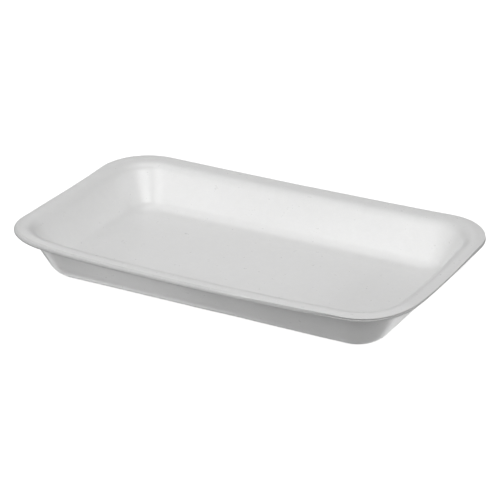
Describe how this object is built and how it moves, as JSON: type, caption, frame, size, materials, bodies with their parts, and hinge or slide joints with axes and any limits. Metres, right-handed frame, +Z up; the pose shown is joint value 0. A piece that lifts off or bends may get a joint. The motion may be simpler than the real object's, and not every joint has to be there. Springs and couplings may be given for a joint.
{
  "type": "foam tray",
  "caption": "Shallow rectangular foam tray with large rounded corners, sloping walls, a flat floor and a flat rim turned outwards, for packing fresh food.",
  "frame": {"origin": "centre of the flat underside, where the tray rests", "axes": "+X along the long sides, +Y along the short sides, +Z up out of the tray's mouth"},
  "size_m": [0.225, 0.133, 0.027],
  "materials": {
    "white_foam": "white extruded polystyrene foam with a smooth, faintly pearly skin and fine cells showing through"
  },
  "bodies": {
    "root": {"foam_tray": "white_foam"}
  },
  "joints": []
}
